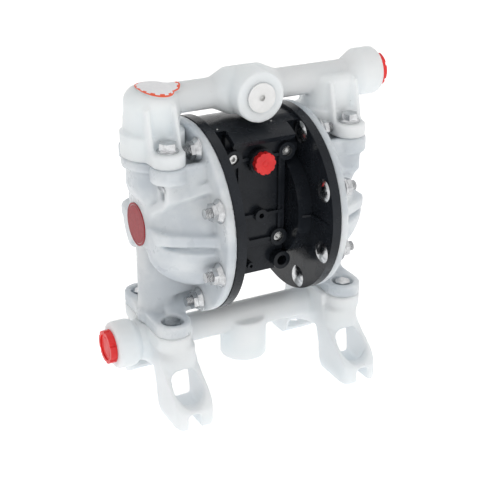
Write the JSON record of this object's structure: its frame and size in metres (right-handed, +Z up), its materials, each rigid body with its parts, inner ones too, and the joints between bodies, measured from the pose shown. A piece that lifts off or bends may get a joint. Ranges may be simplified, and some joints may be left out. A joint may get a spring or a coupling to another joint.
{
  "type": "air operated diaphragm pump",
  "caption": "Air operated double diaphragm pump with white plastic chambers and manifolds, black centre section, steel fasteners, capped ports and slotted feet.",
  "frame": {"origin": "on the floor under the middle of the pump, below the diaphragm rod's centre", "axes": "+Z up, +X along the diaphragm rod towards the discharge port, -Y towards the air inlet side"},
  "size_m": [0.257, 0.1606, 0.277],
  "materials": {
    "white_moulding": "natural polypropylene, milky and slightly see-through, satin moulded skin",
    "black_moulding": "black glass-filled polypropylene, satin",
    "red_cap": "soft red polyethylene cap, satin",
    "white_plug": "white polypropylene, satin",
    "badge": "dark red printed disc with a pale ring, plain",
    "steel": "stainless steel, fine turned and pressed finish",
    "aluminium": "turned",
    "gasket": "nitrile rubber",
    "diaphragm": "moulded elastomer with a smooth working face",
    "ball": "white fluoropolymer",
    "seat": "polypropylene, machined seat",
    "bushing": "acetal"
  },
  "bodies": {
    "pump_housing": {"discharge_manifold": "white_moulding", "suction_manifold": "white_moulding", "outer_chamber_left": "white_moulding", "outer_chamber_right": "white_moulding", "inner_chamber_left": "black_moulding", "inner_chamber_right": "black_moulding", "center_body": "black_moulding", "air_inlet_cover": "black_moulding", "exhaust_cover": "black_moulding", "cover_gaskets": "gasket", "chamber_gasket_left": "gasket", "chamber_gasket_right": "gasket", "hub_badge_left": "badge", "hub_badge_right": "badge", "rod_seal_left": "gasket", "rod_seal_right": "gasket", "rod_bushings": "bushing", "main_valve_sleeve": "aluminium", "valve_end_plug_left": "black_moulding", "valve_end_plug_right": "black_moulding", "spool_bumpers": "gasket", "pilot_sleeve": "aluminium", "plunger_bushing_left": "bushing", "plunger_bushing_right": "bushing", "muffler": "black_moulding", "discharge_port_plug": "red_cap", "suction_port_plug": "red_cap", "front_port_plug": "white_plug", "air_inlet_plug": "red_cap", "chamber_bolts": "steel", "chamber_nuts": "steel", "discharge_bolts": "steel", "discharge_nuts": "steel", "suction_bolts": "steel", "suction_nuts": "steel", "cover_screws": "steel", "seat_o_rings": "gasket", "discharge_seat_left": "seat", "discharge_seat_right": "seat", "suction_seat_left": "seat", "suction_seat_right": "seat"},
    "rod_assembly": {"diaphragm_rod": "steel", "inner_plate_left": "steel", "inner_plate_right": "steel", "outer_plate_left": "white_plug", "outer_plate_right": "white_plug", "diaphragm_left": "diaphragm", "diaphragm_right": "diaphragm"},
    "pilot_shuttle": {"pilot_spool": "bushing", "actuator_plunger_left": "steel", "actuator_plunger_right": "steel"},
    "main_spool": {"main_valve_spool": "bushing"},
    "discharge_check_left": {"discharge_ball_left": "ball"},
    "discharge_check_right": {"discharge_ball_right": "ball"},
    "suction_check_left": {"suction_ball_left": "ball"},
    "suction_check_right": {"suction_ball_right": "ball"}
  },
  "joints": [
    {"name": "rod_stroke", "type": "slide", "parent": "pump_housing", "child": "rod_assembly", "axis": [1, 0, 0], "range_m": [-0.008, 0.008], "deforming": ["diaphragm_left", "diaphragm_right"]},
    {"name": "pilot_shift", "type": "slide", "parent": "pump_housing", "child": "pilot_shuttle", "axis": [1, 0, 0], "range_m": [-0.004, 0.004]},
    {"name": "main_spool_shift", "type": "slide", "parent": "pump_housing", "child": "main_spool", "axis": [1, 0, 0], "range_m": [-0.005, 0.005]},
    {"name": "discharge_ball_lift_left", "type": "slide", "parent": "pump_housing", "child": "discharge_check_left", "axis": [0, 0, 1], "range_m": [0, 0.006]},
    {"name": "discharge_ball_lift_right", "type": "slide", "parent": "pump_housing", "child": "discharge_check_right", "axis": [0, 0, 1], "range_m": [0, 0.006]},
    {"name": "suction_ball_lift_left", "type": "slide", "parent": "pump_housing", "child": "suction_check_left", "axis": [0, 0, 1], "range_m": [0, 0.006]},
    {"name": "suction_ball_lift_right", "type": "slide", "parent": "pump_housing", "child": "suction_check_right", "axis": [0, 0, 1], "range_m": [0, 0.006]}
  ],
  "couplings": [
    {"joint": "pilot_shift", "follows": "rod_stroke", "ratio": 0.5}
  ]
}
